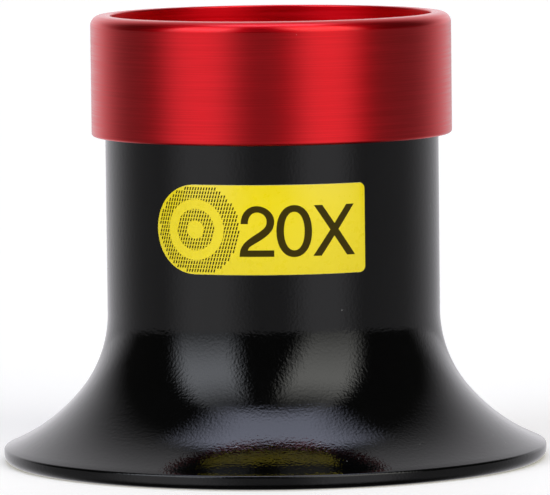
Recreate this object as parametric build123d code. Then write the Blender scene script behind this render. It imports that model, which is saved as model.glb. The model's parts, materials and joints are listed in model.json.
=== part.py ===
"""A watchmaker's eye loupe of 20 times: a flared black eye cup, and a red screw ring with the lens cell.

Millimetres. +Z is the optical axis, from the eye towards the work. The origin is the centre of the plane
that the brim rests on, and the label faces -Y. Nearly every piece is turned on a lathe, so it is drawn as a
half section, radius across and height up, and revolved about Z.

From the work side, the pieces lie in this order: screw ring, lens cell with its flange under the ring's
lip, ring retainer behind the flange, objective lens, spacer, eye lens and cell retainer. The ring retainer
screws into the ring's own thread, so the cell is captive in the ring but free to turn in it: as the ring is
unscrewed from the eye cup's neck, it turns and climbs, and the cell climbs straight.
"""

from build123d import *

import math
import os

# Overall sizes.
overall_height = 32.8
brim_diameter = 40.0
tube_diameter = 24.5
wall = 1.2

# The flare, from the straight tube down to the brim.
flare_height = 10.9
brim_slope = 24.0  # degrees below level, where the flare meets the brim's edge
brim_edge_height = 1.02
brim_land = 0.6  # radial width of the straight slope behind the brim's edge
brim_wall = 1.5  # the shell's thickness at the brim
brim_top_round = 0.2
brim_bottom_round = 0.6

# The screw ring.
ring_height = 8.85
ring_skirt_wall = 0.9
ring_rim_wall = 1.45
ring_top_round = 0.75
ring_edge_chamfer = 0.2
recess_depth = 2.4
recess_chamfer = 0.15
ring_lip_thickness = 1.0
ring_lip_cover = 1.6  # how far the lip reaches in over the cell's flange
skirt_lap = 0.95  # how far the ring's skirt reaches down over the tube

# The screw thread between ring and eye cup, and the finer one in the lens cell.
thread_pitch = 0.75
cell_thread_pitch = 0.5
flank_angle = 30.0  # degrees, each side of a ridge
thread_depth_share = 0.6134  # of the pitch, a ridge's height
ridge_foot = 0.05  # how far a ridge's foot is sunk into its core
neck_step = 0.45  # radial, from the tube's outside in to the thread's crests
neck_wall = 0.94  # under the thread's roots

# Clearances between pieces.
thread_gap = 0.06  # radial, crest to root
flank_gap = 0.045  # axial, flank to flank
face_gap = 0.05  # between faces that screw up against each other, and the cell's play in the ring
fit_gap = 0.05  # radial, spigot in bore
skirt_gap = 0.1  # radial, ring's skirt over the tube
flange_gap = 0.2  # radial, cell's flange inside the ring's thread
glass_gap = 0.02  # round and between glass, spacer and seats

# The lens cell.
spigot_length = 3.75
cell_flange_thickness = 1.0
cell_barrel_wall = 1.25
cell_thread_step = 0.5  # radial, from the glass out to the thread's crests
dish_depth = 1.2
seat_thickness = 0.4
seat_ledge = 0.5
ring_retainer_thickness = 0.9
ring_retainer_bore_gap = 0.2
cell_retainer_thickness = 1.5
cell_retainer_wall = 0.75
cell_end_margin = 0.3
spanner_slot_width = 1.1
spanner_slot_depth = 0.6

# The optics: two equal plano-convex lenses, convex faces together.
magnification = 20
reading_distance = 250.0
glass_index = 1.517
lens_diameter = 14.0
lens_edge = 1.2
lens_bevel = 0.15
vertex_gap = 1.0
spacer_wall = 0.7
spacer_stop_thickness = 0.5
spacer_stop_web = 1.7  # radial, from the spacer's outside in to the stop's edge

# The label, a thin sticker on the tube.
label_length = 15.95  # along the tube's surface
label_height = 6.48
label_thickness = 0.12
label_rise = 0.435  # above the middle of the tube's straight stretch
label_turn = -4.85  # degrees from the front to the label's middle
label_corner_round = 0.45
label_glue = 0.01

# Small edge breaks on turned pieces.
edge_break = 0.12


def thread_depth(pitch):
    """The height of a ridge, from root to crest."""
    return thread_depth_share * pitch


# Radii, from the tube in and out.
brim_radius = brim_diameter / 2
tube_radius = tube_diameter / 2
bore_radius = tube_radius - wall
skirt_bore_radius = tube_radius + skirt_gap
ring_radius = skirt_bore_radius + ring_skirt_wall
recess_radius = ring_radius - ring_rim_wall
thread_radius = tube_radius - neck_step
thread_core_radius = thread_radius - thread_depth(thread_pitch)
ring_thread_root = thread_radius + thread_gap
ring_thread_crest = ring_thread_root - thread_depth(thread_pitch)
neck_bore_radius = thread_core_radius - neck_wall
spigot_radius = neck_bore_radius - fit_gap
flange_radius = ring_thread_crest - flange_gap
lip_bore_radius = flange_radius - ring_lip_cover
lens_radius = lens_diameter / 2
barrel_radius = lens_radius + cell_barrel_wall
cell_thread_radius = lens_radius + cell_thread_step

# The direction of the brim's slope, down and outwards, in a half section.
brim_way = Vector(math.cos(math.radians(brim_slope)), -math.sin(math.radians(brim_slope)))

# Heights, from the top down.
ring_bottom = overall_height - ring_height
lip_top = overall_height - recess_depth
lip_under = lip_top - ring_lip_thickness
cell_top = lip_under - face_gap / 2
flange_under = cell_top - cell_flange_thickness
ring_retainer_top = flange_under - face_gap / 2
ring_retainer_under = ring_retainer_top - ring_retainer_thickness
neck_top = ring_retainer_under - face_gap
shoulder = ring_bottom + skirt_lap
spigot_end = flange_under - spigot_length

# The glass. Each lens has focal length F, and the pair, F squared over twice F less the gap.
focal_length = reading_distance / magnification
lens_focal_length = focal_length + math.sqrt(focal_length**2 - focal_length * vertex_gap)
lens_curve = lens_focal_length * (glass_index - 1)


def sagitta(radius):
    """How far the lens's convex face has fallen at this radius."""
    return lens_curve - math.sqrt(lens_curve**2 - radius**2)


objective_flat = cell_top - dish_depth - seat_thickness - glass_gap
objective_vertex = objective_flat - lens_edge - sagitta(lens_radius)
eye_vertex = objective_vertex - vertex_gap
eye_flat = eye_vertex - sagitta(lens_radius) - lens_edge
spacer_top = objective_vertex + sagitta(lens_radius - spacer_wall) - glass_gap
spacer_bottom = eye_vertex - sagitta(lens_radius - spacer_wall) + glass_gap
cell_retainer_top = eye_flat - glass_gap
cell_retainer_under = cell_retainer_top - cell_retainer_thickness
barrel_end = cell_retainer_under - cell_end_margin

label_centre_height = (flare_height + ring_bottom) / 2 + label_rise


def turned(face):
    """Revolves a half section, drawn with radius across and height up."""
    return revolve(Plane.XZ * face, axis=Axis.Z)


def section(*corners):
    """A half section with straight sides."""
    return make_face(Polyline(*corners, close=True))


def near(face, radius, height):
    """The corner of a half section that lies at this radius and height."""
    return min(face.vertices(), key=lambda corner: (Vector(corner) - Vector(radius, height)).length)


def rounded(face, radius, height, size):
    """The half section with one corner rounded."""
    return fillet(near(face, radius, height), size)


def chamfered(face, radius, height, size):
    """The half section with one corner cut at 45 degrees."""
    return chamfer(near(face, radius, height), size)


def flare(start, end):
    """Two arcs, tangent to each other, from straight down at start to the brim's slope at end."""
    down = Vector(0, -1)
    span = end - start
    both = down + brim_way
    square = 4 - both.dot(both)
    linear = 2 * span.dot(both)
    handle = (math.sqrt(linear**2 + 4 * square * span.dot(span)) - linear) / (2 * square)
    first = start + down * handle
    second = end - brim_way * handle
    joint = (first + second) / 2
    return [
        TangentArc(start, joint, tangent=down),
        TangentArc(joint, end, tangent=second - first),
    ]


def ridge(root, crest, pitch, low, high):
    """A helical thread ridge between two heights, with its ends tapered.

    It stands on a core when crest is wider than root, and in a bore when it is narrower. Ridges in a bore
    lie half a pitch from ridges on a core, so every pair of the same pitch is in mesh.
    """
    outward = 1 if crest > root else -1
    depth = abs(crest - root)
    flank = math.tan(math.radians(flank_angle))
    crest_half = (pitch / 2 - flank_gap - (depth - thread_gap) * flank) / 2
    foot_half = crest_half + (depth + ridge_foot) * flank
    phase = 0 if outward > 0 else pitch / 2
    start = phase + pitch * math.floor((low - phase) / pitch - 1)
    turns = math.ceil((high - start) / pitch + 1)
    path = Helix(pitch, turns * pitch, root, center=(0, 0, start))
    profile = Polyline(
        (-outward * ridge_foot, -foot_half),
        (outward * depth, -crest_half),
        (outward * depth, crest_half),
        (-outward * ridge_foot, foot_half),
        close=True,
    )
    across = Plane(origin=path @ 0, x_dir=(1, 0, 0), z_dir=path % 0)
    coil = sweep(across * make_face(profile), path=path, is_frenet=True)
    inner = root - outward * 2 * ridge_foot
    outer = crest + outward * ridge_foot
    taper = min(depth, (high - low) / 3)
    zone = section(
        (inner, low),
        (root, low),
        (outer, low + taper),
        (outer, high - taper),
        (root, high),
        (inner, high),
    )
    return coil & turned(zone)


def eye_cup():
    """The flared shell that sits in the eye socket, with the threaded neck at its top."""
    inward = Vector(brim_way.Y, -brim_way.X)
    brim_edge = Vector(brim_radius, brim_edge_height)
    brim_top = brim_edge - brim_way * (brim_land / brim_way.X)
    outside = make_face(
        [
            Line((0, 0), (brim_radius, 0)),
            Line((brim_radius, 0), brim_edge),
            Line(brim_edge, brim_top),
            *flare(Vector(tube_radius, flare_height), brim_top),
            Line((tube_radius, flare_height), (tube_radius, shoulder)),
            Line((tube_radius, shoulder), (thread_core_radius, shoulder)),
            Line((thread_core_radius, shoulder), (thread_core_radius, neck_top)),
            Line((thread_core_radius, neck_top), (0, neck_top)),
            Line((0, neck_top), (0, 0)),
        ]
    )
    outside = rounded(outside, brim_radius, 0, brim_bottom_round)
    outside = rounded(outside, brim_radius, brim_edge_height, brim_top_round)
    outside = chamfered(outside, tube_radius, shoulder, edge_break)
    mouth = brim_top + inward * brim_wall
    below = mouth + brim_way * (2 * wall)
    step = bore_radius - neck_bore_radius
    inside = make_face(
        [
            *flare(Vector(bore_radius, flare_height), mouth),
            Line(mouth, below),
            Line(below, (0, below.Y)),
            Line((0, below.Y), (0, neck_top)),
            Line((0, neck_top), (neck_bore_radius, neck_top)),
            Line((neck_bore_radius, neck_top), (neck_bore_radius, spigot_end)),
            Line((neck_bore_radius, spigot_end), (bore_radius, spigot_end - step)),
            Line((bore_radius, spigot_end - step), (bore_radius, flare_height)),
        ]
    )
    shell = turned(outside - inside)
    return shell + ridge(thread_core_radius, thread_radius, thread_pitch, shoulder + edge_break, neck_top)


def lens_ring():
    """The red ring: a skirt threaded inside, a lip over the lens cell, and a recess in front of the lip."""
    step = shoulder + face_gap
    face = section(
        (skirt_bore_radius, ring_bottom),
        (ring_radius, ring_bottom),
        (ring_radius, overall_height),
        (recess_radius, overall_height),
        (recess_radius, lip_top),
        (lip_bore_radius, lip_top),
        (lip_bore_radius, lip_under),
        (ring_thread_root, lip_under),
        (ring_thread_root, step),
        (skirt_bore_radius, step),
    )
    face = rounded(face, ring_radius, overall_height, ring_top_round)
    face = chamfered(face, ring_radius, ring_bottom, ring_edge_chamfer)
    face = chamfered(face, recess_radius, overall_height, recess_chamfer)
    face = chamfered(face, lip_bore_radius, lip_top, edge_break)
    thread = ridge(ring_thread_root, ring_thread_crest, thread_pitch, step, ring_retainer_top)
    return turned(face) + thread


def spanner_slots(bore, rim, under):
    """Two slots across a threaded ring's underside, for a pin spanner."""
    length = 2 * rim + 1
    bar = Box(length, spanner_slot_width, 2 * spanner_slot_depth)
    return Pos(0, 0, under) * bar - Pos(0, 0, under) * Cylinder(bore / 2, 2 * spanner_slot_depth)


def ring_retainer():
    """The threaded ring that traps the lens cell's flange in the screw ring."""
    bore = spigot_radius + ring_retainer_bore_gap
    face = section(
        (bore, ring_retainer_under),
        (thread_core_radius, ring_retainer_under),
        (thread_core_radius, ring_retainer_top),
        (bore, ring_retainer_top),
    )
    face = chamfered(face, bore, ring_retainer_under, edge_break)
    thread = ridge(thread_core_radius, thread_radius, thread_pitch, ring_retainer_under, ring_retainer_top)
    return turned(face) + thread - spanner_slots(bore, thread_radius, ring_retainer_under)


def lens_cell():
    """The barrel that holds the glass: a dish, a flange under the ring's lip, and a spigot in the neck."""
    bore = lens_radius + glass_gap
    aperture = lens_radius - seat_ledge
    dish = lip_bore_radius - edge_break
    seat_top = cell_top - dish_depth
    thread_root = cell_thread_radius + thread_gap
    thread_low = barrel_end
    thread_high = cell_retainer_top
    thread_crest = thread_root - thread_depth(cell_thread_pitch)
    face = section(
        (aperture, seat_top),
        (dish, cell_top),
        (flange_radius, cell_top),
        (flange_radius, flange_under),
        (spigot_radius, flange_under),
        (spigot_radius, spigot_end),
        (barrel_radius, spigot_end),
        (barrel_radius, barrel_end),
        (thread_root, thread_low),
        (thread_root, thread_high),
        (bore, thread_high),
        (bore, seat_top - seat_thickness),
        (aperture, seat_top - seat_thickness),
    )
    face = chamfered(face, flange_radius, cell_top, edge_break)
    face = chamfered(face, spigot_radius, spigot_end, edge_break)
    face = chamfered(face, barrel_radius, barrel_end, edge_break)
    return turned(face) + ridge(thread_root, thread_crest, cell_thread_pitch, thread_low, thread_high)


def lens(flat, towards_eye):
    """A plano-convex lens, flat face at this height, bulging down (towards_eye) or up."""
    way = -1 if towards_eye else 1
    edge = flat + way * lens_edge
    vertex = edge + way * sagitta(lens_radius)
    middle = lens_radius / 2
    face = make_face(
        [
            Line((0, flat), (lens_radius, flat)),
            Line((lens_radius, flat), (lens_radius, edge)),
            ThreePointArc((lens_radius, edge), (middle, vertex - way * sagitta(middle)), (0, vertex)),
            Line((0, vertex), (0, flat)),
        ]
    )
    return turned(chamfered(face, lens_radius, flat, lens_bevel))


def lens_spacer():
    """The tube that sets the gap between the lenses, with the aperture stop as a web at its middle."""
    outer = lens_radius
    inner = lens_radius - spacer_wall
    stop = outer - spacer_stop_web
    middle = (spacer_top + spacer_bottom) / 2
    face = section(
        (inner, spacer_bottom),
        (outer, spacer_bottom),
        (outer, spacer_top),
        (inner, spacer_top),
        (inner, middle + spacer_stop_thickness / 2),
        (stop, middle),
        (inner, middle - spacer_stop_thickness / 2),
    )
    return turned(face)


def cell_retainer():
    """The threaded ring behind the eye lens."""
    core = cell_thread_radius - thread_depth(cell_thread_pitch)
    bore = lens_radius - cell_retainer_wall
    face = section(
        (bore, cell_retainer_under),
        (core, cell_retainer_under),
        (core, cell_retainer_top),
        (bore, cell_retainer_top),
    )
    face = chamfered(face, bore, cell_retainer_under, 2 * edge_break)
    thread = ridge(core, cell_thread_radius, cell_thread_pitch, cell_retainer_under, cell_retainer_top)
    return turned(face) + thread - spanner_slots(bore, cell_thread_radius, cell_retainer_under)


def label():
    """The sticker, bent round the tube: half round at its left end, with small corners at its right."""
    inner = tube_radius + label_glue
    outer = inner + label_thickness
    half = label_height / 2
    low = label_centre_height - half
    high = label_centre_height + half
    strip = section((inner, low), (outer, low), (outer, high), (inner, high))
    round_arc = math.degrees(math.asin(half / inner))
    whole_arc = math.degrees(label_length / inner)
    straight = revolve(Plane.XZ * strip, axis=Axis.Z, revolution_arc=whole_arc - round_arc)
    corners = [edge for edge in straight.edges() if edge.length < 2 * label_thickness]
    straight = fillet([edge for edge in corners if edge.center().Y > half], label_corner_round)
    disc = Pos(inner, 0, label_centre_height) * Rot(0, 90, 0) * Cylinder(half, 4 * label_thickness)
    round_end = turned(strip) & disc
    turn = label_turn - 90 - whole_arc / 2 + round_arc
    return Rot(0, 0, turn) * (straight + round_end)


def write(name, solid):
    """Writes one piece to its own STEP file."""
    export_step(solid, f"parts/{name}.step")
    print(name, "solids", len(solid.solids()), "volume", round(solid.volume, 2))


def main():
    os.makedirs("parts", exist_ok=True)
    write("eye_cup", eye_cup())
    write("lens_ring", lens_ring())
    write("ring_retainer", ring_retainer())
    write("lens_cell", lens_cell())
    write("objective_lens", lens(objective_flat, True))
    write("lens_spacer", lens_spacer())
    write("eye_lens", lens(eye_flat, False))
    write("cell_retainer", cell_retainer())
    write("label", label())


if __name__ == "__main__":
    main()
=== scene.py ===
# %% [markdown]
# # A watchmaker's eye loupe
#
# This file dresses a finished mechanical model of an eye loupe: a black lacquered eye cup with a
# flared brim, a red anodised ring that screws onto it, a printed yellow sticker, and a small stack
# of turned parts and glass inside. The mechanical model fixes every size and every place. Here each
# visible piece is made again as a clean, smooth mesh of exactly that size, and gets its finish.

# %% Load the fixed frame
import json
import math

import bpy
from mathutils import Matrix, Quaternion, Vector

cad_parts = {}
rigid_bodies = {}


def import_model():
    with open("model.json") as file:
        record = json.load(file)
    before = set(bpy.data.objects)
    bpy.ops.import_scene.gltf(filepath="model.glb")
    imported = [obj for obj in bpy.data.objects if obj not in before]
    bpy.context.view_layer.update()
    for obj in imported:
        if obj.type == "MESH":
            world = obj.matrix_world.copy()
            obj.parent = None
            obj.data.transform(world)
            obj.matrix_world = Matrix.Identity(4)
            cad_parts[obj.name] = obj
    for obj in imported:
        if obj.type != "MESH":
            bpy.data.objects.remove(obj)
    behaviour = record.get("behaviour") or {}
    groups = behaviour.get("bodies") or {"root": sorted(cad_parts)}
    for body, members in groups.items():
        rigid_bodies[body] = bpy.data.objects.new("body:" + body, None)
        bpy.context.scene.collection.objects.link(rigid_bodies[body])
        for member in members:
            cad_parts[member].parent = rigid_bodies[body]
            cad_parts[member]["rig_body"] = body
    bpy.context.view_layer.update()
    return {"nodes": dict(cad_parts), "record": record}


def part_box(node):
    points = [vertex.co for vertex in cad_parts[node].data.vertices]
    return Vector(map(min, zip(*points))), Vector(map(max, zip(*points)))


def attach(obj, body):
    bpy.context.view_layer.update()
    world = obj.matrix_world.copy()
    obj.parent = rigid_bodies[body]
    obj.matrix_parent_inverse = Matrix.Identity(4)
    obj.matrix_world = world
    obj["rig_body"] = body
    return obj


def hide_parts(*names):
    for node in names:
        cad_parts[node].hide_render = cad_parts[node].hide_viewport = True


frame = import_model()

# %% [markdown]
# ## Sizes
#
# Blender works in metres, and a loupe is measured in millimetres. Every outline below is written in
# millimetres and multiplied by `mm` when it becomes a mesh. The main sizes are read from the frame,
# so that they can't disagree with it: the widest point of a node gives a radius, and its highest
# point gives a shoulder. What lies between, such as the wall's thickness, is a named value.

# %% Sizes that the frame gives
mm = 0.001


def low(node):
    """The lowest corner of a node's box, in millimetres."""
    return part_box(node)[0] / mm


def high(node):
    """The highest corner of a node's box, in millimetres."""
    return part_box(node)[1] / mm


brim_radius = high("eye_cup").x
neck_top = high("eye_cup").z
ring_radius = high("lens_ring").x
ring_top = high("lens_ring").z
ring_bottom = low("lens_ring").z
mount_radius = {m["name"]: m["dims"].get("r_mm") for m in frame["record"]["mounts"]}
recess_radius = mount_radius["front_recess"]
lens_radius = high("objective_lens").x
print("brim", round(brim_radius, 2), "ring", round(ring_radius, 2), "height", round(ring_top, 2))

# %% Sizes that lie between
ring_step = 1.0
tube_radius = ring_radius - ring_step
wall = 1.2
flare_top = 10.9
brim_slope = math.radians(24)
brim_edge = 1.02
brim_land = 0.6
brim_wall = 1.5
brim_top_round = 0.2
brim_under_round = 0.6
edge_break = 0.12
print("tube radius", round(tube_radius, 3))

# %% Sizes of the neck, its thread and the ring's lip
skirt_lap = 0.95
skirt_gap = 0.1
shoulder = ring_bottom + skirt_lap
thread_pitch = 0.75
ridge_share = 0.6134  # of the pitch, a ridge's height
thread_depth = ridge_share * thread_pitch
thread_gap = 0.06
neck_step = 0.45
neck_wall = 0.94
thread_radius = tube_radius - neck_step
thread_core = thread_radius - thread_depth
neck_bore = thread_core - neck_wall
ring_thread_root = thread_radius + thread_gap
flange_gap = 0.2
lip_cover = 1.6
lip_bore = ring_thread_root - thread_depth - flange_gap - lip_cover
recess_depth = 2.4
lip_thickness = 1.0
lip_top = ring_top - recess_depth
lip_under = lip_top - lip_thickness
face_gap = 0.05
flange_thickness = 1.0
spigot_length = 3.75
flange_under = lip_under - face_gap / 2 - flange_thickness
spigot_end = flange_under - spigot_length
print("lip bore", round(lip_bore, 3), "spigot's end", round(spigot_end, 3))

# %% [markdown]
# ## Turned parts
#
# Nearly everything here comes off a lathe. The Blender way to turn a part is to draw half of its
# section and spin it. The section starts as one vertex, made by merging a small plane, and grows
# corner by corner with extrude. Lathe parts have small rounds on their corners, which catch the
# light as thin bright lines, so each corner of an outline carries its own rounding, and the helper
# replaces it with a short arc.

# %% Outlines with rounded corners
CORNER_STEPS = 6


def arc(centre, start, end, steps):
    """Points on the arc about centre from start to end, with both of them."""
    first = start - centre
    last = end - centre
    return [centre + first.slerp(last, step / steps) * first.length for step in range(steps + 1)]


def outline(corners):
    """The points of a closed outline, in mm, with rounded corners.

    A corner is (radius, height), or (radius, height, rounding).
    """
    points = []
    for index, corner in enumerate(corners):
        here = Vector(corner[:2])
        rounding = corner[2] if len(corner) > 2 else 0
        if not rounding:
            points.append(here)
            continue
        back = (Vector(corners[index - 1][:2]) - here).normalized()
        ahead = (Vector(corners[(index + 1) % len(corners)][:2]) - here).normalized()
        half = back.angle(ahead) / 2
        centre = here + (back + ahead).normalized() * (rounding / math.sin(half))
        reach = rounding / math.tan(half)
        points += arc(centre, here + back * reach, here + ahead * reach, CORNER_STEPS)
    return points


def tangent_arc(start, way, end, steps):
    """Points on the arc that leaves start along way and reaches end, without its first point."""
    side = Vector((-way.y, way.x))
    span = end - start
    radius = span.length_squared / (2 * side.dot(span))
    return arc(start + side * radius, start, end, steps)[1:]


def flare(start, end):
    """Two arcs, tangent to each other, from straight down at start to the brim's slope at end."""
    down = Vector((0, -1))
    out = Vector((math.cos(brim_slope), -math.sin(brim_slope)))
    span = end - start
    both = down + out
    square = 4 - both.dot(both)
    linear = 2 * span.dot(both)
    handle = (math.sqrt(linear**2 + 4 * square * span.dot(span)) - linear) / (2 * square)
    first = start + down * handle
    second = end - out * handle
    joint = (first + second) / 2
    upper = tangent_arc(start, down, joint, 22)
    lower = tangent_arc(joint, (second - first).normalized(), end, 22)
    return [start, *upper, *lower]


# %% Fresh selections, and the lathe
TURNS = 192
MERGE = 0.0005 * mm


def pick(*pieces):
    """Selects only these pieces, and makes the first one active."""
    if bpy.context.object and bpy.context.object.mode != "OBJECT":
        bpy.ops.object.mode_set(mode="OBJECT")
    bpy.ops.object.select_all(action="DESELECT")
    for piece in pieces:
        piece.select_set(True)
    bpy.context.view_layer.objects.active = pieces[0]


def start_piece(name):
    """A small plane at the origin, in edit mode with all of it selected, to start a piece from."""
    bpy.ops.object.select_all(action="DESELECT")
    bpy.ops.mesh.primitive_plane_add(size=mm, location=(0, 0, 0))
    piece = bpy.context.object
    piece.name = name
    piece.data.name = name
    bpy.ops.object.mode_set(mode="EDIT")
    bpy.ops.mesh.select_all(action="SELECT")
    return piece


def close_up():
    """In edit mode: merges doubles, drops loose edges, turns faces outwards, and ends the mode."""
    bpy.ops.mesh.select_all(action="SELECT")
    bpy.ops.mesh.remove_doubles(threshold=MERGE)
    bpy.ops.mesh.delete_loose()
    bpy.ops.mesh.select_all(action="SELECT")
    bpy.ops.mesh.normals_make_consistent(inside=False)
    bpy.ops.object.mode_set(mode="OBJECT")


def turn(name, points, segments=TURNS):
    """Turns a closed outline about Z, as on a lathe."""
    piece = start_piece(name)
    bpy.ops.mesh.merge(type="CENTER")
    last = Vector((0, 0))
    loop = [*points, points[0]]
    for index, point in enumerate(loop):
        step = ((point.x - last.x) * mm, 0, (point.y - last.y) * mm)
        if index == 0:
            bpy.ops.transform.translate(value=step)
        else:
            bpy.ops.mesh.extrude_vertices_move(TRANSFORM_OT_translate={"value": step})
        last = point
    bpy.ops.mesh.select_all(action="SELECT")
    bpy.ops.mesh.remove_doubles(threshold=MERGE)
    bpy.ops.mesh.select_all(action="SELECT")
    bpy.ops.mesh.spin(steps=segments, angle=2 * math.pi, center=(0, 0, 0), axis=(0, 0, 1))
    close_up()
    return piece


def apply_all(piece):
    """Applies every modifier of a piece, in order."""
    pick(piece)
    for name in [modifier.name for modifier in piece.modifiers]:
        bpy.ops.object.modifier_apply(modifier=name)


def smooth(piece, degrees=32):
    """Smooth shading that keeps true corners, with the flat stretches ruling the normals."""
    pick(piece)
    bpy.ops.object.shade_smooth_by_angle(angle=math.radians(degrees))
    weighted = piece.modifiers.new("weighted", "WEIGHTED_NORMAL")
    weighted.keep_sharp = True
    weighted.weight = 100
    apply_all(piece)
    return piece


# %% [markdown]
# ## Screw threads
#
# A thread is a ridge that climbs as it goes round. The Screw modifier does that: it sweeps a small
# trapezoid round Z and lifts it by one pitch a turn. The ends of a real thread run out to nothing,
# so the coil is cut to a tapered zone with a Boolean. Then it is joined to its core with another.

# %% A thread ridge
FLANK = math.tan(math.radians(30))
FLANK_GAP = 0.045
FOOT = 0.05
THREAD_STEPS = 96


def boolean(piece, other, operation):
    """Joins, cuts or intersects a piece with another, which is used up."""
    modifier = piece.modifiers.new(operation.lower(), "BOOLEAN")
    modifier.operation = operation
    modifier.solver = "EXACT"
    modifier.object = other
    apply_all(piece)
    bpy.data.objects.remove(other, do_unlink=True)
    return piece


def thread(name, root, crest, pitch, bottom, top):
    """A helical ridge from root to crest between two heights.

    A ridge in a bore lies half a pitch from those on a core, so that the two fit into each other.
    """
    outward = 1 if crest > root else -1
    depth = abs(crest - root)
    crest_half = (pitch / 2 - FLANK_GAP - (depth - thread_gap) * FLANK) / 2
    foot_half = crest_half + (depth + FOOT) * FLANK
    phase = 0 if outward > 0 else pitch / 2
    start = phase + pitch * math.floor((bottom - phase) / pitch - 1)
    turns = math.ceil((top - start) / pitch + 1)
    coil = start_piece(name)
    bpy.ops.mesh.delete(type="ONLY_FACE")
    bpy.ops.object.mode_set(mode="OBJECT")
    section = [
        (root - outward * FOOT, start - foot_half),
        (crest, start - crest_half),
        (crest, start + crest_half),
        (root - outward * FOOT, start + foot_half),
    ]
    order = [0, 1, 3, 2]  # a plane's vertices go row by row
    for place, index in zip(section, order):
        coil.data.vertices[index].co = (place[0] * mm, 0, place[1] * mm)
    screw = coil.modifiers.new("screw", "SCREW")
    screw.axis = "Z"
    screw.angle = 2 * math.pi
    screw.screw_offset = pitch * mm
    screw.iterations = turns
    screw.steps = THREAD_STEPS
    screw.render_steps = THREAD_STEPS
    apply_all(coil)
    bpy.ops.object.mode_set(mode="EDIT")
    bpy.ops.mesh.select_all(action="DESELECT")
    bpy.ops.mesh.select_mode(type="EDGE")
    bpy.ops.mesh.select_non_manifold(
        extend=False, use_wire=False, use_multi_face=False, use_non_contiguous=False
    )
    bpy.ops.mesh.edge_face_add()
    bpy.ops.mesh.select_mode(type="VERT")
    close_up()
    taper = min(depth, (top - bottom) / 3)
    inner = root - outward * 2 * FOOT
    outer = crest + outward * FOOT
    zone = turn(
        name + "_zone",
        outline(
            [
                (inner, bottom),
                (root, bottom),
                (outer, bottom + taper),
                (outer, top - taper),
                (root, top),
                (inner, top),
            ]
        ),
        THREAD_STEPS,
    )
    return boolean(coil, zone, "INTERSECT")


# %% [markdown]
# ## The eye cup
#
# The cup is one turned shell. Its outside drops straight down the tube, then sweeps out in two arcs
# to the brim, where a short straight slope meets a rounded edge. Its inside follows it, with a wall
# that thickens a little towards the brim, up to the neck, where the bore narrows. Drawing the
# outside and the inside as one closed outline gives the wall its real thickness, so that the mouth
# looks right from the eye's side as well.

# %% Turn the cup
out = Vector((math.cos(brim_slope), -math.sin(brim_slope)))
inward = Vector((out.y, -out.x))
brim_top = Vector((brim_radius, brim_edge)) - out * (brim_land / out.x)
bore_radius = tube_radius - wall


def cup_outline():
    """The cup's closed section: from the land up the outside, over the neck, down the inside."""
    outside = flare(Vector((tube_radius, flare_top)), brim_top)
    inside = flare(Vector((bore_radius, flare_top)), brim_top + inward * brim_wall)
    above_floor = [point for point in inside if point.y > 0.02]
    land_inner = above_floor[-1].x + above_floor[-1].y / math.tan(brim_slope)
    corners = [(land_inner, 0), (brim_radius, 0, brim_under_round)]
    corners += [(brim_radius, brim_edge, brim_top_round)]
    corners += [tuple(point) for point in reversed(outside)]
    corners += [
        (tube_radius, shoulder, edge_break),
        (thread_core, shoulder),
        (thread_core, neck_top, 0.06),
        (neck_bore, neck_top, 0.08),
        (neck_bore, spigot_end),
        (bore_radius, spigot_end - (bore_radius - neck_bore)),
    ]
    corners += [tuple(point) for point in above_floor]
    return outline(corners)


cup = turn("cup_shell", cup_outline())
neck_thread = thread(
    "neck_thread", thread_core, thread_radius, thread_pitch, shoulder + edge_break, neck_top
)
boolean(cup, neck_thread, "UNION")
smooth(cup)
print("cup faces:", len(cup.data.polygons))

# %% [markdown]
# ## The screw ring
#
# The red ring has a rounded top edge on the outside, a narrow flat land, and a small chamfer into
# the recess. Below, its skirt laps over the tube. Inside it carries the other half of the thread.

# %% Turn the ring
skirt_bore = tube_radius + skirt_gap
skirt_end = shoulder + face_gap
ring = turn(
    "screw_ring",
    outline(
        [
            (skirt_bore, ring_bottom, 0.05),
            (ring_radius, ring_bottom, 0.2),
            (ring_radius, ring_top, 0.75),
            (recess_radius, ring_top, 0.12),
            (recess_radius, lip_top, 0.08),
            (lip_bore, lip_top, 0.1),
            (lip_bore, lip_under),
            (ring_thread_root, lip_under),
            (ring_thread_root, skirt_end),
            (skirt_bore, skirt_end),
        ]
    ),
)
ring_thread = thread(
    "ring_thread",
    ring_thread_root,
    ring_thread_root - thread_depth,
    thread_pitch,
    skirt_end,
    high("ring_retainer").z,
)
boolean(ring, ring_thread, "UNION")
smooth(ring)
print("ring faces:", len(ring.data.polygons))

# %% [markdown]
# ## The lens cell
#
# The cell is the black barrel that carries the glass. From the work side it shows a shallow dish
# with fine steps turned into it, which stop stray light. From the eye side it shows a plain barrel
# end.

# %% Sizes of the cell
cell_top = high("lens_cell").z
cell_end = low("lens_cell").z
flange_radius = high("lens_cell").x
fit_gap = 0.05
spigot_radius = neck_bore - fit_gap
barrel_wall = 1.25
barrel_radius = lens_radius + barrel_wall
glass_gap = 0.02
cell_bore = lens_radius + glass_gap
dish_depth = 1.2
dish_rim = 0.12
dish_radius = lip_bore - dish_rim
seat_ledge = 0.5
seat_top = cell_top - dish_depth
seat_radius = lens_radius - seat_ledge
seat_under = high("objective_lens").z + glass_gap
cell_thread_pitch = 0.5
cell_thread_step = 0.5
cell_thread_crest = lens_radius + cell_thread_step
cell_thread_root = cell_thread_crest + thread_gap
retainer_top = high("cell_retainer").z
print("cell from", round(cell_end, 2), "to", round(cell_top, 2))


# %% Turn the cell
DISH_STEPS = 9
STEP_LEAN = 0.02


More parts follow.
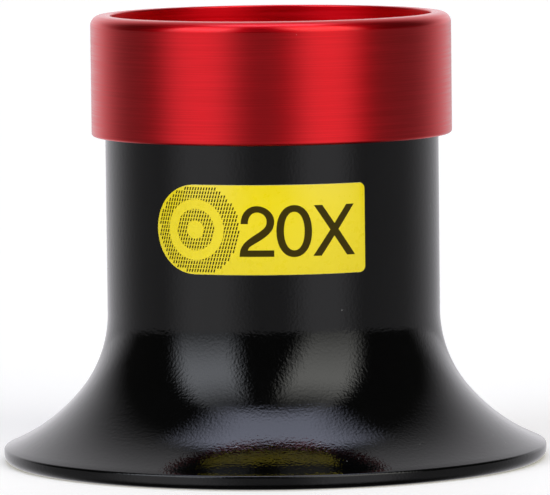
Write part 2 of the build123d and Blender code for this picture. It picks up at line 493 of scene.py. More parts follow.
def dish_steps(count):
    """The dish's corners from the seat out: a cone cut into small steps, none proud of the cone."""
    corners = []
    for index in range(count):
        near_share = index / count
        far_share = (index + 1) / count
        near = seat_radius + (dish_radius - seat_radius) * near_share
        far = seat_radius + (dish_radius - seat_radius) * far_share
        level = seat_top + (cell_top - seat_top) * near_share
        corners += [(near + STEP_LEAN, level), (far, level)]
    return corners


cell = turn(
    "cell_barrel",
    outline(
        [
            (seat_radius, seat_under),
            (seat_radius, seat_top),
            *dish_steps(DISH_STEPS),
            (dish_radius, cell_top, 0.02),
            (flange_radius, cell_top, 0.1),
            (flange_radius, flange_under),
            (spigot_radius, flange_under),
            (spigot_radius, spigot_end, 0.12),
            (barrel_radius, spigot_end),
            (barrel_radius, cell_end, 0.15),
            (cell_thread_root, cell_end, 0.05),
            (cell_thread_root, retainer_top),
            (cell_bore, retainer_top),
            (cell_bore, seat_under),
        ]
    ),
)
smooth(cell)
print("cell faces:", len(cell.data.polygons))

# %% [markdown]
# ## The glass
#
# Two plano-convex lenses face each other with their bulges. A lens is a half section with one arc,
# so its curve is true, and enough steps keep the refraction clean.

# %% Turn the lenses
LENS_TURNS = 128
LENS_ARC_STEPS = 28
lens_edge = 1.2
lens_bevel = 0.15


def lens(name, node, flat_up):
    """A plano-convex lens that fills its node's box, with its flat face up or down."""
    bottom = low(node).z
    top = high(node).z
    flat = top if flat_up else bottom
    vertex = bottom if flat_up else top
    way = 1 if flat_up else -1
    edge = flat - way * lens_edge
    sag = abs(edge - vertex)
    curve = (lens_radius**2 + sag**2) / (2 * sag)
    centre = vertex + way * curve
    points = [
        Vector((0, flat)),
        Vector((lens_radius - lens_bevel, flat)),
        Vector((lens_radius, flat - way * lens_bevel)),
    ]
    widest = math.asin(lens_radius / curve)
    for step in range(LENS_ARC_STEPS + 1):
        angle = widest * (1 - step / LENS_ARC_STEPS)
        height = centre - way * curve * math.cos(angle)
        points.append(Vector((curve * math.sin(angle), height)))
    piece = turn(name, points, LENS_TURNS)
    return smooth(piece, 25)


front_glass = lens("front_glass", "objective_lens", True)
rear_glass = lens("rear_glass", "eye_lens", False)
print("lens heights:", round(low("eye_lens").z, 2), round(high("objective_lens").z, 2))

# %% [markdown]
# ## The spacer and the retaining ring
#
# The spacer is a tube with a thin sharp web inside, which stops stray light. The retaining ring
# screws in behind the glass. Its ridge starts a hair inside the ring's core and clear of its
# corners, so that no two faces lie in one place, which a Boolean handles badly. A bar across it
# cuts the two slots that a spanner turns it by.

# %% Turn the spacer
spacer_wall = 0.7
stop_web = 1.7
stop_half = 0.25
spacer_bore = lens_radius - spacer_wall
spacer_low = low("lens_spacer").z
spacer_high = high("lens_spacer").z
spacer_middle = (spacer_low + spacer_high) / 2
spacer = turn(
    "glass_spacer",
    outline(
        [
            (spacer_bore, spacer_low),
            (lens_radius, spacer_low, 0.05),
            (lens_radius, spacer_high, 0.05),
            (spacer_bore, spacer_high),
            (spacer_bore, spacer_middle + stop_half),
            (lens_radius - stop_web, spacer_middle, 0.02),
            (spacer_bore, spacer_middle - stop_half),
        ]
    ),
    LENS_TURNS,
)
smooth(spacer)
print("spacer faces:", len(spacer.data.polygons))

# %% Turn the cell's retaining ring
HAIR = 0.02
END_MARGIN = 0.1
retainer_wall = 0.75
retainer_low = low("cell_retainer").z
retainer_bore = lens_radius - retainer_wall
retainer_core = cell_thread_crest - ridge_share * cell_thread_pitch
retainer = turn(
    "cell_retaining_ring",
    outline(
        [
            (retainer_bore, retainer_low, 0.22),
            (retainer_core, retainer_low, 0.06),
            (retainer_core, retainer_top, 0.06),
            (retainer_bore, retainer_top, 0.06),
        ]
    ),
    THREAD_STEPS,
)
retainer_thread = thread(
    "retainer_thread",
    retainer_core - HAIR,
    cell_thread_crest,
    cell_thread_pitch,
    retainer_low + END_MARGIN,
    retainer_top - END_MARGIN,
)
boolean(retainer, retainer_thread, "UNION")

# %% Cut the spanner slots
slot_width = 1.1
slot_depth = 0.6
bar_size = (2 * lens_radius + 2, slot_width, 2 * slot_depth)
bar_place = (0, 0, retainer_low * mm)
bpy.ops.object.select_all(action="DESELECT")
bpy.ops.mesh.primitive_cube_add(size=mm, location=bar_place)
slot_bar = bpy.context.object
bpy.ops.object.mode_set(mode="EDIT")
bpy.ops.mesh.select_all(action="SELECT")
bpy.ops.transform.resize(value=bar_size, center_override=bar_place)
bpy.ops.object.mode_set(mode="OBJECT")
pick(slot_bar)
bpy.ops.object.transform_apply(location=True, rotation=True, scale=True)
boolean(retainer, slot_bar, "DIFFERENCE")
bpy.ops.object.mode_set(mode="EDIT")
close_up()
smooth(retainer)
print("retainer faces:", len(retainer.data.polygons))

# %% [markdown]
# ## The sticker
#
# A sticker is cut flat and then bent round the tube, and it is modelled the same way. The flat
# blank stands in the XZ plane and faces the front. X is the length along the tube's surface,
# measured from the loupe's front. Vertex bevels round its corners, cuts across it let it bend, and
# Solidify gives it its thickness. The last step rolls every vertex round the tube, so that a length
# along X becomes an angle. Blender's own bend would need an angle for each piece, and this way the
# sticker and its print share one radius.

# %% Sizes of the sticker
sticker_low = low("label").z
sticker_high = high("label").z
sticker_height = sticker_high - sticker_low
sticker_middle = (sticker_low + sticker_high) / 2
sticker_glue = 0.01
sticker_thickness = 0.12
sticker_corner = 0.45
sticker_length = 15.95
sticker_turn = math.radians(-4.85)
sticker_back = tube_radius + sticker_glue
sticker_face = sticker_back + sticker_thickness
sticker_shift = sticker_turn * sticker_back
sticker_left = sticker_shift - sticker_length / 2
sticker_right = sticker_shift + sticker_length / 2
print("sticker from", round(sticker_left, 2), "to", round(sticker_right, 2))


# %% Cutting and rolling flat pieces
CUT_STEP = 0.3


def select_where(piece, test):
    """In edit mode: selects only the vertices that pass the test."""
    bpy.ops.mesh.select_all(action="DESELECT")
    bpy.ops.object.mode_set(mode="OBJECT")
    for vertex in piece.data.vertices:
        vertex.select = test(vertex)
    bpy.ops.object.mode_set(mode="EDIT")


def cut_across(left, right):
    """In edit mode: cuts the whole piece across, at even steps between left and right."""
    count = math.ceil((right - left) / CUT_STEP)
    for index in range(1, count):
        place = left + (right - left) * index / count
        bpy.ops.mesh.select_all(action="SELECT")
        bpy.ops.mesh.bisect(plane_co=(place * mm, 0, 0), plane_no=(1, 0, 0))


def roll(piece, radius):
    """Rolls a flat piece round Z. X is the length along the surface, and -Y stands out from it."""
    for vertex in piece.data.vertices:
        angle = vertex.co.x / (radius * mm)
        reach = radius * mm - vertex.co.y
        vertex.co.x = reach * math.sin(angle)
        vertex.co.y = -reach * math.cos(angle)
    piece.data.update()
    return piece


# %% Make the sticker
sticker = start_piece("label_sticker")
bpy.ops.transform.rotate(value=-math.pi / 2, orient_axis="X", center_override=(0, 0, 0))
bpy.ops.transform.resize(value=(sticker_length, 1, sticker_height), center_override=(0, 0, 0))
bpy.ops.transform.translate(value=(sticker_shift * mm, 0, sticker_middle * mm))
select_where(sticker, lambda vertex: vertex.co.x < sticker_shift * mm)
just_short = 0.01
half_round = sticker_height / 2 - just_short
bpy.ops.mesh.bevel(offset=half_round * mm, segments=20, affect="VERTICES", clamp_overlap=False)
select_where(sticker, lambda vertex: vertex.co.x > (sticker_right - just_short) * mm)
bpy.ops.mesh.bevel(offset=sticker_corner * mm, segments=8, affect="VERTICES", clamp_overlap=False)
cut_across(sticker_left, sticker_right)
bpy.ops.object.mode_set(mode="OBJECT")
thick = sticker.modifiers.new("thickness", "SOLIDIFY")
thick.thickness = sticker_thickness * mm
thick.offset = 1
edge = sticker.modifiers.new("cut edge", "BEVEL")
edge.width = 0.05 * mm
edge.segments = 2
edge.limit_method = "ANGLE"
edge.angle_limit = math.radians(50)
apply_all(sticker)
bpy.ops.object.mode_set(mode="EDIT")
close_up()
side_faces = [face for face in sticker.data.polygons if abs(face.normal.y) < 0.75]
for face in side_faces:
    face.material_index = 1
roll(sticker, sticker_back)
print("sticker faces:", len(sticker.data.polygons), "at its cut edge:", len(side_faces))

# %% [markdown]
# ## The printed magnification
#
# The print is a thin film of ink. Each figure is drawn as a flat curve with its corners and its
# smooth points listed one by one, in millimetres from its own lower left corner. A flat curve with
# a little depth becomes a closed mesh. Then it is cut across and rolled like the sticker.

# %% Draw with curves
INK = 0.02


def draw(name, outlines, left, baseline, film=INK):
    """A flat closed drawing.

    A point is (x, z), (x, z, handle x, handle z), or has an in handle and an out handle.
    """
    curve = bpy.data.curves.new(name, "CURVE")
    curve.dimensions = "2D"
    curve.fill_mode = "BOTH"
    curve.resolution_u = 10
    curve.extrude = film / 2
    for anchors in outlines:
        spline = curve.splines.new("BEZIER")
        spline.bezier_points.add(len(anchors) - 1)
        spline.use_cyclic_u = True
        for point, anchor in zip(spline.bezier_points, anchors):
            place = Vector((*anchor[:2], 0))
            handles = anchor[2:]
            if len(handles) == 2:
                handles = (-handles[0], -handles[1], *handles)
            if not handles:
                handles = (0, 0, 0, 0)
            point.handle_left_type = "FREE"
            point.handle_right_type = "FREE"
            point.co = place
            point.handle_left = place + Vector((*handles[:2], 0))
            point.handle_right = place + Vector((*handles[2:], 0))
    piece = bpy.data.objects.new(name, curve)
    bpy.context.scene.collection.objects.link(piece)
    pick(piece)
    bpy.ops.object.convert(target="MESH")
    piece = bpy.context.object
    piece.name = name
    piece.data.name = name
    piece.rotation_euler = (math.pi / 2, 0, 0)
    piece.scale = (mm, mm, mm)
    piece.location = (left * mm, 0, baseline * mm)
    bpy.ops.object.transform_apply(location=True, rotation=True, scale=True)
    bpy.ops.object.mode_set(mode="EDIT")
    cut_across(left, left + max(anchor[0] for anchor in outlines[0]))
    close_up()
    return roll(piece, sticker_face)


def crossing(first, second):
    """Where two straight edges cross. Each is a pair of points."""
    a, b = (Vector(point) for point in first)
    c, d = (Vector(point) for point in second)
    along = b - a
    other = d - c
    share = (c - a).cross(other) / along.cross(other)
    return tuple(a + along * share)


# %% The two
FIGURE_HEIGHT = 3.65
baseline = sticker_low + 1.33
two = [
    (0, 0, 0, 0.75, 0, 0),
    (2.5, 0),
    (2.5, 0.46),
    (0.6, 0.46, 0, 0, 0.12, 0.32),
    (1.55, 1.2, 0.8, 0.5),
    (2.52, 2.58, 0, 0.5),
    (1.28, FIGURE_HEIGHT, -0.68, 0),
    (0.1, 2.36, 0, 0.75, 0, 0),
    (0.62, 2.36, 0, 0, 0, 0.5),
    (1.27, 3.19, 0.37, 0),
    (1.97, 2.57, 0, -0.35),
    (1.15, 1.58, -0.8, -0.5),
]
figure_two = draw("figure_two", [two], -2.42, baseline)


# %% The nought
def oval(half_width, half_height, centre, turn_way, full=0.6):
    """A closed oval of four smooth points, by default a little squarer than an ellipse."""
    x, z = centre
    reach_x = half_width * full
    reach_z = half_height * full * turn_way
    return [
        (x + half_width, z, 0, reach_z),
        (x, z + half_height * turn_way, -reach_x, 0),
        (x - half_width, z, 0, -reach_z),
        (x, z - half_height * turn_way, reach_x, 0),
    ]


nought_centre = (1.29, FIGURE_HEIGHT / 2)
nought = [oval(1.29, 1.87, nought_centre, 1), oval(0.75, 1.39, nought_centre, -1)]
figure_nought = draw("figure_nought", nought, 0.25, baseline)

# %% The times sign
fall_left = ((2.58, 0), (0.08, FIGURE_HEIGHT))
fall_right = ((3.22, 0), (0.7, FIGURE_HEIGHT))
rise_left = ((0, 0), (2.55, FIGURE_HEIGHT))
rise_right = ((0.62, 0), (3.14, FIGURE_HEIGHT))
times = [
    rise_left[0],
    rise_right[0],
    crossing(rise_right, fall_left),
    fall_left[0],
    fall_right[0],
    crossing(fall_right, rise_right),
    rise_right[1],
    rise_left[1],
    crossing(rise_left, fall_right),
    fall_right[1],
    fall_left[1],
    crossing(fall_left, rise_left),
]
times_sign = draw("times_sign", [times], 2.91, baseline)
figures = [figure_two, figure_nought, times_sign]
print("figures:", [len(piece.data.polygons) for piece in figures])

# %% [markdown]
# ## The printed lens symbol
#
# The round end of the sticker carries a disc of fine slanted strokes, with a plain symbol of a lens
# in it: a ring round a dot. One stroke is modelled, two Array modifiers repeat it in rows, and the
# strokes that fall outside the disc or wholly under the symbol are deleted. The symbol is a film of
# yellow over the rest, a little prouder than the ink, so that it has crisp edges where it cuts
# through strokes.

# %% Make the strokes
STROKE_WIDTH = 0.1
STROKE_LENGTH = 0.215
STROKE_SLANT = 0.06
STROKE_PITCH = 0.215
ROW_PITCH = 0.281
ROW_SHIFT = 0.077
disc_centre = Vector((sticker_left + sticker_height / 2, sticker_middle))
disc_radius = sticker_height / 2 + 0.1
edge_reach = sticker_height / 2 - 0.16
rows = math.floor(2 * edge_reach / ROW_PITCH) + 1
columns = math.ceil((2 * disc_radius + rows * ROW_SHIFT) / STROKE_PITCH)
first_x = disc_centre.x - disc_radius - rows * ROW_SHIFT
first_z = disc_centre.y - (rows - 1) * ROW_PITCH / 2

strokes = start_piece("label_strokes")
bpy.ops.transform.rotate(value=-math.pi / 2, orient_axis="X", center_override=(0, 0, 0))
stroke_size = (STROKE_WIDTH, 1, STROKE_LENGTH)
bpy.ops.transform.resize(value=stroke_size, center_override=(0, 0, 0))
select_where(strokes, lambda vertex: vertex.co.z > 0)
bpy.ops.transform.translate(value=(STROKE_SLANT * mm, 0, 0))
bpy.ops.mesh.select_all(action="SELECT")
bpy.ops.transform.translate(value=(first_x * mm, INK / 2 * mm, first_z * mm))
bpy.ops.object.mode_set(mode="OBJECT")
film = strokes.modifiers.new("ink", "SOLIDIFY")
film.thickness = INK * mm
film.offset = 1
for count, step in ((columns, (STROKE_PITCH, 0, 0)), (rows, (ROW_SHIFT, 0, ROW_PITCH))):
    repeat = strokes.modifiers.new("repeat", "ARRAY")
    repeat.count = count
    repeat.use_relative_offset = False
    repeat.use_constant_offset = True
    repeat.constant_offset_displace = Vector(step) * mm
apply_all(strokes)
print("strokes to choose from:", rows * columns)


# %% Clear the symbol and the outside of the disc
DOT = 0.66
RING_INNER = 1.5
RING_OUTER = 2.2
STROKE_REACH = 0.14


def is_blank(offset):
    """Whether a stroke at this offset from the disc's centre is left out."""
    distance = offset.length
    on_dot = distance < DOT - STROKE_REACH
    on_ring = RING_INNER + STROKE_REACH < distance < RING_OUTER - STROKE_REACH
    off_sticker = abs(offset.y) > edge_reach or (offset.x < 0 and distance > edge_reach)
    return on_dot or on_ring or off_sticker or distance > disc_radius


CORNERS = 8
blank = set()
for first in range(0, len(strokes.data.vertices), CORNERS):
    members = strokes.data.vertices[first : first + CORNERS]
    middle = sum((vertex.co for vertex in members), Vector()) / (CORNERS * mm)
    if is_blank(Vector((middle.x, middle.z)) - disc_centre):
        blank.update(range(first, first + CORNERS))
pick(strokes)
bpy.ops.object.mode_set(mode="EDIT")
select_where(strokes, lambda vertex: vertex.index in blank)
bpy.ops.mesh.delete(type="VERT")
close_up()
roll(strokes, sticker_face)
print("strokes:", len(strokes.data.vertices) // CORNERS)

# %% Lay the symbol over them
CIRCLE = 0.5523
COVER = 0.032


def circle(radius, way):
    """A circle about the middle of a drawing that is as wide as the symbol, from its left edge."""
    return oval(radius, radius, (RING_OUTER, 0), way, CIRCLE)


symbol_left = disc_centre.x - RING_OUTER
ring_lines = [circle(RING_OUTER, 1), circle(RING_INNER, -1)]
dot_lines = [circle(DOT, 1)]
symbol = [
    draw("symbol_ring", ring_lines, symbol_left, disc_centre.y, COVER),
    draw("symbol_dot", dot_lines, symbol_left, disc_centre.y, COVER),
]
print("symbol faces:", [len(piece.data.polygons) for piece in symbol])

# %% [markdown]
# ## Finishes
#
# All finishes are node materials on Object coordinates. The helper below adds a node, sets its
# properties, and sets or links its inputs, so that a material reads as a short list.

# %% Node helpers
def add(tree, kind, settings=None, inputs=None):
    """Adds a node. An input is a plain value, or the socket that it is linked from."""
    node = tree.nodes.new(kind)
    for name, value in (settings or {}).items():
        setattr(node, name, value)
    for name, value in (inputs or {}).items():
        if isinstance(value, bpy.types.NodeSocket):
            tree.links.new(value, node.inputs[name])
        else:
            node.inputs[name].default_value = value
    return node


def calc(tree, operation, *values):
    """One Math node's result."""
    return add(tree, "ShaderNodeMath", {"operation": operation}, dict(enumerate(values))).outputs[0]


def spread(tree, value, from_low, from_high, to_low=0.0, to_high=1.0):
    """A value moved smoothly from one range to another, and held at its ends."""
    ends = {"From Min": from_low, "From Max": from_high, "To Min": to_low, "To Max": to_high}
    inputs = {"Value": value, **ends}
    return add(tree, "ShaderNodeMapRange", {"interpolation_type": "SMOOTHSTEP"}, inputs).outputs[0]


def mix(tree, factor, first, second):
    """Two colours mixed."""
    inputs = {0: factor, 6: first, 7: second}
    return add(tree, "ShaderNodeMix", {"data_type": "RGBA"}, inputs).outputs[2]


def finish_named(name):
    """A new node material, with its tree and its shader."""
    material = bpy.data.materials.new(name)
    material.use_nodes = True
    return material, material.node_tree, material.node_tree.nodes["Principled BSDF"]


# %% [markdown]
# ### Tool marks
#
# A lathe tool leaves fine rings. On a wall they lie one above the other, and on a flat face one
# inside the other. Height less part of the radius changes across both, so one stretched noise can
# draw the rings everywhere. A little of x and y in it breaks each ring into the short streaks that
# a hand-held abrasive leaves.

# %% Tool marks and dust as helpers
def place_of(tree):
    """The place on the piece, in metres."""
    return add(tree, "ShaderNodeTexCoord").outputs["Object"]


def tool_marks(tree, streak, pitch, detail=2.0):
    """A 0 to 1 pattern of turned rings: how long a mark runs, and how far apart they lie, in mm."""
    split = add(tree, "ShaderNodeSeparateXYZ", None, {0: place_of(tree)})
    across_x, across_y, height = split.outputs
    square_x = calc(tree, "POWER", across_x, 2.0)
    square_y = calc(tree, "POWER", across_y, 2.0)
    radius = calc(tree, "SQRT", calc(tree, "ADD", square_x, square_y))
    along = calc(tree, "SUBTRACT", height, calc(tree, "MULTIPLY", radius, 0.8))
    long = 1 / (streak * mm)
    short = 1 / (pitch * mm)
    inputs = {
        "X": calc(tree, "MULTIPLY", across_x, long),
        "Y": calc(tree, "MULTIPLY", across_y, long),
        "Z": calc(tree, "MULTIPLY", along, short),
    }
    vector = add(tree, "ShaderNodeCombineXYZ", None, inputs).outputs[0]
    noise = {"Vector": vector, "Scale": 1.0, "Detail": detail}
    return add(tree, "ShaderNodeTexNoise", None, noise).outputs["Fac"]


def grain(tree, size, detail=2.0):
    """A 0 to 1 pattern of even grain, with its size in mm."""
    inputs = {"Vector": place_of(tree), "Scale": 1 / (size * mm), "Detail": detail}
    return add(tree, "ShaderNodeTexNoise", None, inputs).outputs["Fac"]


def specks(tree, spacing, size):
    """1 on a few small dots of dust, and 0 elsewhere. Spacing and size are in mm."""
    inputs = {"Vector": place_of(tree), "Scale": 1 / (spacing * mm)}
    cells = add(tree, "ShaderNodeTexVoronoi", None, inputs)
    share = size / spacing
    return spread(tree, cells.outputs["Distance"], share / 2, share * 0.6, 1.0, 0.0)


def bump(tree, height, depth, normal=None):
    """A surface normal moved by a 0 to 1 height, over a depth in mm."""
    inputs = {"Height": height, "Distance": depth * mm, "Strength": 1.0}
    if normal:
        inputs["Normal"] = normal
    return add(tree, "ShaderNodeBump", None, inputs).outputs[0]


# %% [markdown]
# ### Black lacquer
#
# The cup is turned, then sprayed with gloss black. Sprayed lacquer never levels out fully: it keeps
# a fine orange peel, which makes the edges of reflections look grainy. Faint tool marks show
# through, and a little dust lies on it.

# %% Black lacquer
lacquer, tree, shader = finish_named("black_lacquer")
dust = specks(tree, 2.2, 0.08)
shade = mix(tree, grain(tree, 1.2), (0.0005, 0.0005, 0.0006, 1), (0.0012, 0.0012, 0.0013, 1))
tree.links.new(mix(tree, dust, shade, (0.2, 0.2, 0.19, 1)), shader.inputs["Base Color"])
tree.links.new(spread(tree, grain(tree, 0.35), 0.3, 0.7, 0.06, 0.10), shader.inputs["Roughness"])
peel = bump(tree, grain(tree, 0.2, 1.0), 0.010)
marks = bump(tree, tool_marks(tree, 8, 0.22), 0.002, peel)
tree.links.new(marks, shader.inputs["Normal"])
print("lacquer nodes:", len(tree.nodes))

# %% [markdown]
# ### Red anodising
#
# The ring is aluminium, turned bright and dyed red. Its tool marks run round it, so a reflection
# spreads up and down, and stays sharp from side to side. That is what the shader's anisotropy does
# when its tangent stands upright. The clear oxide on top adds a faint white reflection of its own.

# %% Red anodised aluminium
def red_anodised(name, streak, pitch, roughness, anisotropy, depth):
    """Dyed bright aluminium whose tool marks have this length, pitch and depth, in mm."""
    material, tree, shader = finish_named(name)
    streaks = tool_marks(tree, streak, pitch, 3.0)
    lighter = spread(tree, streaks, 0.3, 0.75)
    tint = mix(tree, lighter, (0.79, 0.003, 0.009, 1), (0.90, 0.008, 0.018, 1))
    dusty = mix(tree, specks(tree, 2.4, 0.07), tint, (0.85, 0.2, 0.22, 1))
    tree.links.new(dusty, shader.inputs["Base Color"])
    shine = spread(tree, streaks, 0.3, 0.7, roughness, roughness + 0.1)
    tree.links.new(shine, shader.inputs["Roughness"])
    tangent = add(tree, "ShaderNodeTangent", {"direction_type": "RADIAL", "axis": "Z"}).outputs[0]
    tree.links.new(tangent, shader.inputs["Tangent"])
    shader.inputs["Metallic"].default_value = 1.0
    shader.inputs["Anisotropic"].default_value = anisotropy
    shader.inputs["Anisotropic Rotation"].default_value = 0.25
    shader.inputs["Coat Weight"].default_value = 0.42
    shader.inputs["Coat Roughness"].default_value = 0.08
    shader.inputs["Coat IOR"].default_value = 1.6
    tree.links.new(bump(tree, streaks, depth), shader.inputs["Normal"])
    return material


red_outside = red_anodised("red_anodised_outside", 7.0, 0.09, 0.34, 0.58, 0.0009)
red_inside = red_anodised("red_anodised_bored", 9.0, 0.14, 0.38, 0.2, 0.0012)


# %% [markdown]
# ### Black anodising
#
# The cell, the spacer and the retaining rings are black anodised. The dye takes the shine off, and
# the tool marks stay plain to see as concentric rings.

# %% Black anodised aluminium
def black_anodised(name, pitch, shine):
    """A dull black metal finish with rings of this pitch, in mm."""
    material, tree, shader = finish_named(name)
    rings = tool_marks(tree, 6.0, pitch, 3.0)
    shade = mix(tree, rings, (0.008, 0.008, 0.010, 1), (0.022, 0.022, 0.026, 1))
    dusty = mix(tree, specks(tree, 1.8, 0.08), shade, (0.5, 0.5, 0.48, 1))
    tree.links.new(dusty, shader.inputs["Base Color"])
    tree.links.new(spread(tree, rings, 0.3, 0.7, shine, shine + 0.15), shader.inputs["Roughness"])
    tree.links.new(bump(tree, rings, 0.006), shader.inputs["Normal"])
    return material


cell_black = black_anodised("cell_black_anodised", 0.16, 0.32)
spacer_black = black_anodised("spacer_black_anodised", 0.1, 0.45)
retainer_black = black_anodised("retainer_black_anodised", 0.12, 0.3)

# %% [markdown]
# ### Glass
#
# The lenses are plain crown glass. Real glass in use carries a faint film where it was wiped, so
# the roughness rises a very little in soft patches.

# %% Glass
glass, tree, shader = finish_named("crown_glass")
wiped = grain(tree, 3.0, 4.0)
tree.links.new(spread(tree, wiped, 0.52, 0.75, 0.0, 0.07), shader.inputs["Roughness"])
shader.inputs["Base Color"].default_value = (0.97, 0.985, 0.98, 1)
shader.inputs["Transmission Weight"].default_value = 1.0
shader.inputs["IOR"].default_value = 1.517
tree.links.new(bump(tree, wiped, 0.0004), shader.inputs["Normal"])

# %% [markdown]
# ### Sticker and ink
#
# The sticker is glossy yellow film with a paler core that shows at its cut edge. The ink is a dark
# olive black: black ink is never quite opaque on yellow.

# %% Sticker film, its core, and ink
film_yellow, tree, shader = finish_named("label_yellow_film")
mottle = grain(tree, 0.5, 3.0)
yellow = mix(tree, mottle, (0.92, 0.735, 0.004, 1), (0.95, 0.765, 0.007, 1))
tree.links.new(yellow, shader.inputs["Base Color"])
tree.links.new(spread(tree, mottle, 0.3, 0.7, 0.26, 0.36), shader.inputs["Roughness"])
tree.links.new(bump(tree, mottle, 0.0015), shader.inputs["Normal"])

film_core, tree, shader = finish_named("label_pale_core")
fibre = grain(tree, 0.08)
pale = mix(tree, fibre, (0.80, 0.76, 0.42, 1), (0.90, 0.87, 0.60, 1))
tree.links.new(pale, shader.inputs["Base Color"])
tree.links.new(bump(tree, fibre, 0.006), shader.inputs["Normal"])
shader.inputs["Roughness"].default_value = 0.55

ink, tree, shader = finish_named("label_ink")
pores = grain(tree, 0.12, 3.0)
olive = mix(tree, pores, (0.040, 0.027, 0.001, 1), (0.058, 0.041, 0.002, 1))
tree.links.new(olive, shader.inputs["Base Color"])
tree.links.new(spread(tree, pores, 0.3, 0.7, 0.38, 0.5), shader.inputs["Roughness"])
tree.links.new(bump(tree, pores, 0.002), shader.inputs["Normal"])
shader.inputs["Specular IOR Level"].default_value = 0.08


# %% [markdown]
# ## Joining looks to the frame
#
# Each piece takes its material, stands for its node in the mechanical model, and rides on that
# node's body, so that it moves with it.

# %% Dress the pieces
def dress(piece, node, slot_name, *materials):
    """Gives a piece its materials, its body and its node; the slot name is not used."""
    piece.data.materials.clear()
    for material in materials:
        piece.data.materials.append(material)
    body = frame["nodes"][node]["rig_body"]
    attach(piece, body)
    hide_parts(node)


sticker_indexes = [face.material_index for face in sticker.data.polygons]
dress(cup, "eye_cup", "cup_black", lacquer)
dress(ring, "lens_ring", "ring_red", red_outside, red_inside)
for face in ring.data.polygons:
    place = face.center / mm
    bored = Vector((place.x, place.y)).length < recess_radius + 0.01
    face.material_index = int(bored)
dress(cell, "lens_cell", "cell_black", cell_black)
dress(front_glass, "objective_lens", "lens_glass", glass)
dress(rear_glass, "eye_lens", "lens_glass", glass)
dress(spacer, "lens_spacer", "cell_black", spacer_black)
dress(retainer, "cell_retainer", "retainer_black", retainer_black)
dress(sticker, "label", "label_yellow", film_yellow, film_core)
for face, index in zip(sticker.data.polygons, sticker_indexes):
    face.material_index = index

# %% Dress the print and the hidden ring
pick(sticker)
bpy.ops.object.shade_smooth_by_angle(angle=math.radians(30))
for piece in (*figures, strokes, *symbol):
    pick(piece)
    bpy.ops.object.shade_smooth_by_angle(angle=math.radians(30))
    piece.data.materials.append(film_yellow if piece in symbol else ink)
    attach(piece, frame["nodes"]["label"]["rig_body"])
hidden_ring = frame["nodes"]["ring_retainer"]
for material_slot in hidden_ring.material_slots:
    material_slot.material = retainer_black

# %% [markdown]
# ## Studio
#
# A glossy black object shows its studio. This one stood between two tall softboxes, with a third
# overhead and a pale backdrop behind, and dark gaps between them. They are drawn as soft-edged
# bands in the world, by the compass angle and the height of each direction, which costs nothing to
# sample and keeps every edge where it should be.

# %% Direction helpers for the world
world = bpy.data.worlds.new("studio")
world.use_nodes = True
bpy.context.scene.world = world
sky = world.node_tree
sky.nodes.clear()
direction = add(sky, "ShaderNodeTexCoord").outputs["Generated"]
toward = add(sky, "ShaderNodeSeparateXYZ", None, {0: direction}).outputs
side, depth, height = toward
nearness = calc(sky, "MULTIPLY", depth, -1.0)
DEGREE = math.degrees(1)
compass = calc(sky, "MULTIPLY", calc(sky, "ARCTAN2", side, nearness), DEGREE)
elevation = calc(sky, "MULTIPLY", calc(sky, "ARCSINE", height), DEGREE)


def band(value, start, end, soft):
    """1 between start and end, with soft edges of this width."""
    rising = spread(sky, value, start - soft / 2, start + soft / 2)
    falling = spread(sky, value, end - soft / 2, end + soft / 2, 1.0, 0.0)
    return calc(sky, "MULTIPLY", rising, falling)


def panel(colour, strength, *masks):
    """A light of one colour where all masks hold."""
    mask = masks[0]
    for other in masks[1:]:
        mask = calc(sky, "MULTIPLY", mask, other)
    inputs = {0: colour, "Scale": calc(sky, "MULTIPLY", mask, strength)}
    return add(sky, "ShaderNodeVectorMath", {"operation": "SCALE"}, inputs).outputs[0]


# %% Softboxes
above = spread(sky, elevation, -1.0, 1.0)
below = spread(sky, elevation, -1.0, 1.0, 1.0, 0.0)


def glow(rise_from, rise_to, fall_from, fall_to):
    """A softbox's brightness by height: brightest between rise_to and fall_from."""
    rising = spread(sky, elevation, rise_from, rise_to)
    return calc(sky, "MULTIPLY", rising, spread(sky, elevation, fall_from, fall_to, 1.0, 0.0))


leaning = calc(sky, "MULTIPLY_ADD", elevation, 0.3, compass)
right_far_edge = spread(sky, compass, 51, 68, 1.0, 0.0)
right_edges = calc(sky, "MULTIPLY", spread(sky, leaning, 13, 32), right_far_edge)
right_glow = glow(-27, 43, 38, 74)
left_glow = glow(-14, 34, 34, 73)
left_softbox = panel((0.92, 0.96, 1.04), 2.65, band(compass, -70, -27, 17), left_glow, above)
right_softbox = panel((1.02, 1.02, 0.97), 2.42, right_edges, right_glow, above)
print("world nodes so far:", len(sky.nodes))

# %% Overhead softbox
safe_height = calc(sky, "MAXIMUM", height, 0.001)
ceiling_side = calc(sky, "ABSOLUTE", calc(sky, "DIVIDE", side, safe_height))
ceiling_near = calc(sky, "DIVIDE", nearness, safe_height)
rear_edge = calc(sky, "MULTIPLY_ADD", ceiling_side, 0.43, ceiling_near)
ceiling_sides = spread(sky, ceiling_side, 0.15, 0.52, 1.0, 0.0)
ceiling_front = spread(sky, ceiling_near, 0.14, 0.42, 1.0, 0.0)
ceiling_rear = spread(sky, rear_edge, -0.26, -0.08)
overhead = panel((0.88, 0.93, 1.19), 2.65, ceiling_sides, ceiling_front, ceiling_rear, above)
print("world nodes so far:", len(sky.nodes))

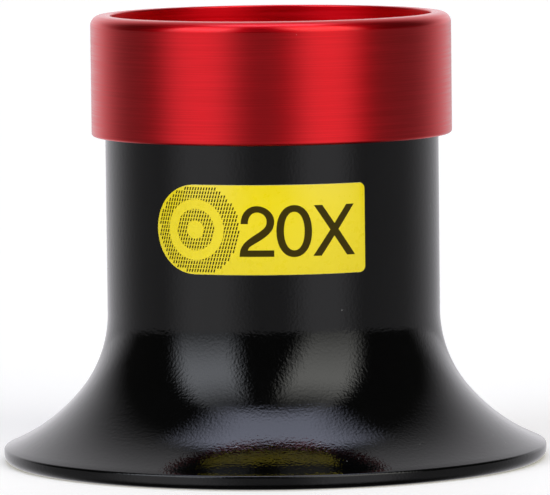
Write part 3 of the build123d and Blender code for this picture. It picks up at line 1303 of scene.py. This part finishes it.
# %% Backdrop and dark walls
FRONT_WHITE = (1.0, 0.99, 1.03)
REAR_WHITE = (1.0, 0.985, 1.03)
turned_away = calc(sky, "ABSOLUTE", compass)
near_floor = calc(sky, "MAXIMUM", calc(sky, "SUBTRACT", 14.0, elevation), 0.0)
widened = calc(sky, "MULTIPLY_ADD", near_floor, 0.9, turned_away)
fading = spread(sky, elevation, 0, 56, 1.02, 0.56)
backdrop_sides = spread(sky, widened, 114, 160)
backdrop_ends = band(elevation, -6, 65, 10)
backdrop = panel(REAR_WHITE, 1.0, backdrop_sides, backdrop_ends, fading, above)
dark_walls = panel((1.0, 1.0, 0.9), 0.028, above)
print("world nodes so far:", len(sky.nodes))

# %% Floor light, and all of it together
under = calc(sky, "MULTIPLY", below, spread(sky, elevation, -62, -24))
floor_light = [
    panel(FRONT_WHITE, 0.21, under),
    panel(FRONT_WHITE, 0.43, under, band(compass, -70, -24, 30)),
    panel(FRONT_WHITE, 0.45, under, band(compass, 17, 54, 24)),
    panel(REAR_WHITE, 0.48, under, spread(sky, turned_away, 98, 160)),
    panel(REAR_WHITE, 0.12, under, spread(sky, compass, -110, -145)),
    panel((1.0, 0.97, 0.95), 0.03, below),
]
light = left_softbox
for extra in (right_softbox, overhead, backdrop, dark_walls, *floor_light):
    inputs = {0: light, 1: extra}
    light = add(sky, "ShaderNodeVectorMath", {"operation": "ADD"}, inputs).outputs[0]
seen_directly = add(sky, "ShaderNodeLightPath").outputs["Is Camera Ray"]
shown = mix(sky, seen_directly, light, (1.0, 1.0, 1.0, 1))
background = add(sky, "ShaderNodeBackground", None, {"Color": shown, "Strength": 1.0})
add(sky, "ShaderNodeOutputWorld", None, {"Surface": background.outputs[0]})
bpy.context.scene.view_settings.view_transform = "Standard"
print("world nodes:", len(sky.nodes))

# %% [markdown]
# ## Floor
#
# The loupe stands on a pale floor without a horizon. The floor hides nothing when the loupe is
# looked at from below, because its underside lets light through. It glows a little, as a lit
# product table does. Reflections take the world's own floor light, which is darker in front and
# straight below, where the loupe's own shadow lies.

# %% Floor
floor_place = (0, 0, -0.01 * mm)
bpy.ops.object.select_all(action="DESELECT")
bpy.ops.mesh.primitive_circle_add(vertices=96, radius=4, fill_type="NGON", location=floor_place)
floor = bpy.context.object
floor.name = "studio_floor"
bpy.ops.object.transform_apply(location=True, rotation=True, scale=True)
floor.visible_glossy = False
floor_finish, tree, shader = finish_named("pale_floor")
paper = grain(tree, 0.6, 3.0)
white = mix(tree, paper, (0.92, 0.92, 0.92, 1), (0.95, 0.95, 0.95, 1))
tree.links.new(white, shader.inputs["Base Color"])
shader.inputs["Roughness"].default_value = 0.9
shader.inputs["Specular IOR Level"].default_value = 0.1
shader.inputs["Emission Color"].default_value = (1.0, 0.95, 0.78, 1)
shader.inputs["Emission Strength"].default_value = 0.3
from_below = add(tree, "ShaderNodeNewGeometry").outputs["Backfacing"]
clear = add(tree, "ShaderNodeBsdfTransparent").outputs[0]
inputs = {0: from_below, 1: shader.outputs[0], 2: clear}
surface = add(tree, "ShaderNodeMixShader", None, inputs).outputs[0]
tree.links.new(surface, tree.nodes["Material Output"].inputs["Surface"])
floor.data.materials.append(floor_finish)

# %% [markdown]
# ## Camera
#
# A long lens close to level, a few degrees above the table, keeps the brim nearly flat and the two
# sides of the tube parallel.

# %% Camera
aim = Vector((0.137, 0, 15.53)) * mm
distance = 465.84 * mm
rise = math.radians(5.015)
roll_angle = math.radians(-0.65)
back = Vector((0, -math.cos(rise), math.sin(rise)))
bpy.ops.object.camera_add(location=aim + back * distance)
camera = bpy.context.object
camera.name = "camera"
turn_to_aim = (-back).to_track_quat("-Z", "Y")
camera.rotation_mode = "QUATERNION"
camera.rotation_quaternion = turn_to_aim @ Quaternion((0, 0, 1), roll_angle)
camera.data.sensor_width = 36
camera.data.lens = 414.1
camera.data.clip_start = 0.01
camera.data.clip_end = 20
bpy.context.scene.camera = camera
